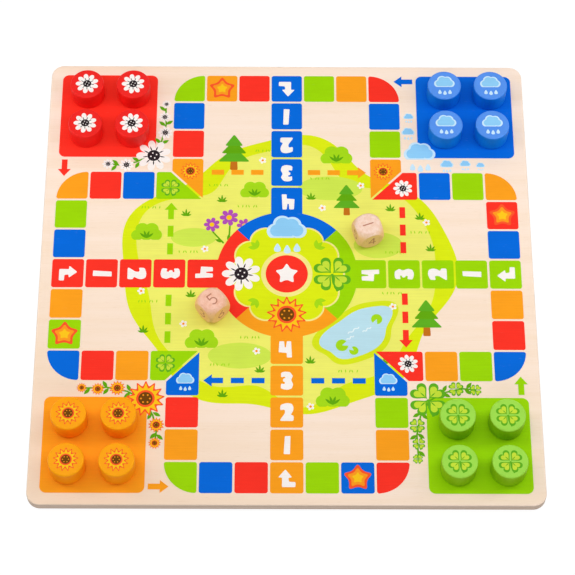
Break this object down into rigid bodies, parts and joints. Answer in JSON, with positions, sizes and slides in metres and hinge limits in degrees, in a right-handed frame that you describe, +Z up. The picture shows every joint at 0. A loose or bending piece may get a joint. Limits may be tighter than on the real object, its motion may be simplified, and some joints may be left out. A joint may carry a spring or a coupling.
{
  "type": "race board game",
  "caption": "Square wooden race board with a printed looped track, corner home bases and a round finish, with cylindrical pawns and rounded dice that lift off.",
  "frame": {"origin": "middle of the board's underside", "axes": "+Z up out of the printed face, +X to the right and +Y to the far side as the player on the orange side sees the board"},
  "size_m": [0.3, 0.3, 0.0226],
  "materials": {
    "plywood": "clear matt lacquer on pale plywood",
    "red_ink": "film of satin red printing ink",
    "blue_ink": "film of satin blue printing ink",
    "green_ink": "film of satin green printing ink",
    "orange_ink": "film of satin orange printing ink",
    "red_paint": "turned wood with satin red paint",
    "blue_paint": "turned wood with satin blue paint",
    "green_paint": "turned wood with satin green paint",
    "orange_paint": "turned wood with satin orange paint",
    "die_wood": "bare sanded beech with brown numerals"
  },
  "bodies": {
    "board": {"board": "plywood", "red_print": "red_ink", "blue_print": "blue_ink", "green_print": "green_ink", "orange_print": "orange_ink"},
    "red_pawn_1": {"red_pawn_1": "red_paint"},
    "red_pawn_2": {"red_pawn_2": "red_paint"},
    "red_pawn_3": {"red_pawn_3": "red_paint"},
    "red_pawn_4": {"red_pawn_4": "red_paint"},
    "blue_pawn_1": {"blue_pawn_1": "blue_paint"},
    "blue_pawn_2": {"blue_pawn_2": "blue_paint"},
    "blue_pawn_3": {"blue_pawn_3": "blue_paint"},
    "blue_pawn_4": {"blue_pawn_4": "blue_paint"},
    "green_pawn_1": {"green_pawn_1": "green_paint"},
    "green_pawn_2": {"green_pawn_2": "green_paint"},
    "green_pawn_3": {"green_pawn_3": "green_paint"},
    "green_pawn_4": {"green_pawn_4": "green_paint"},
    "orange_pawn_1": {"orange_pawn_1": "orange_paint"},
    "orange_pawn_2": {"orange_pawn_2": "orange_paint"},
    "orange_pawn_3": {"orange_pawn_3": "orange_paint"},
    "orange_pawn_4": {"orange_pawn_4": "orange_paint"},
    "left_die": {"left_die": "die_wood"},
    "right_die": {"right_die": "die_wood"}
  },
  "joints": [
    {"name": "red_pawn_1_lift", "type": "slide", "parent": "board", "child": "red_pawn_1", "axis": [0, 0, 1], "range_m": [0, 0.06]},
    {"name": "red_pawn_2_lift", "type": "slide", "parent": "board", "child": "red_pawn_2", "axis": [0, 0, 1], "range_m": [0, 0.06]},
    {"name": "red_pawn_3_lift", "type": "slide", "parent": "board", "child": "red_pawn_3", "axis": [0, 0, 1], "range_m": [0, 0.06]},
    {"name": "red_pawn_4_lift", "type": "slide", "parent": "board", "child": "red_pawn_4", "axis": [0, 0, 1], "range_m": [0, 0.06]},
    {"name": "blue_pawn_1_lift", "type": "slide", "parent": "board", "child": "blue_pawn_1", "axis": [0, 0, 1], "range_m": [0, 0.06]},
    {"name": "blue_pawn_2_lift", "type": "slide", "parent": "board", "child": "blue_pawn_2", "axis": [0, 0, 1], "range_m": [0, 0.06]},
    {"name": "blue_pawn_3_lift", "type": "slide", "parent": "board", "child": "blue_pawn_3", "axis": [0, 0, 1], "range_m": [0, 0.06]},
    {"name": "blue_pawn_4_lift", "type": "slide", "parent": "board", "child": "blue_pawn_4", "axis": [0, 0, 1], "range_m": [0, 0.06]},
    {"name": "green_pawn_1_lift", "type": "slide", "parent": "board", "child": "green_pawn_1", "axis": [0, 0, 1], "range_m": [0, 0.06]},
    {"name": "green_pawn_2_lift", "type": "slide", "parent": "board", "child": "green_pawn_2", "axis": [0, 0, 1], "range_m": [0, 0.06]},
    {"name": "green_pawn_3_lift", "type": "slide", "parent": "board", "child": "green_pawn_3", "axis": [0, 0, 1], "range_m": [0, 0.06]},
    {"name": "green_pawn_4_lift", "type": "slide", "parent": "board", "child": "green_pawn_4", "axis": [0, 0, 1], "range_m": [0, 0.06]},
    {"name": "orange_pawn_1_lift", "type": "slide", "parent": "board", "child": "orange_pawn_1", "axis": [0, 0, 1], "range_m": [0, 0.06]},
    {"name": "orange_pawn_2_lift", "type": "slide", "parent": "board", "child": "orange_pawn_2", "axis": [0, 0, 1], "range_m": [0, 0.06]},
    {"name": "orange_pawn_3_lift", "type": "slide", "parent": "board", "child": "orange_pawn_3", "axis": [0, 0, 1], "range_m": [0, 0.06]},
    {"name": "orange_pawn_4_lift", "type": "slide", "parent": "board", "child": "orange_pawn_4", "axis": [0, 0, 1], "range_m": [0, 0.06]},
    {"name": "left_die_lift", "type": "slide", "parent": "board", "child": "left_die", "axis": [0, 0, 1], "range_m": [0, 0.06]},
    {"name": "right_die_lift", "type": "slide", "parent": "board", "child": "right_die", "axis": [0, 0, 1], "range_m": [0, 0.06]}
  ]
}
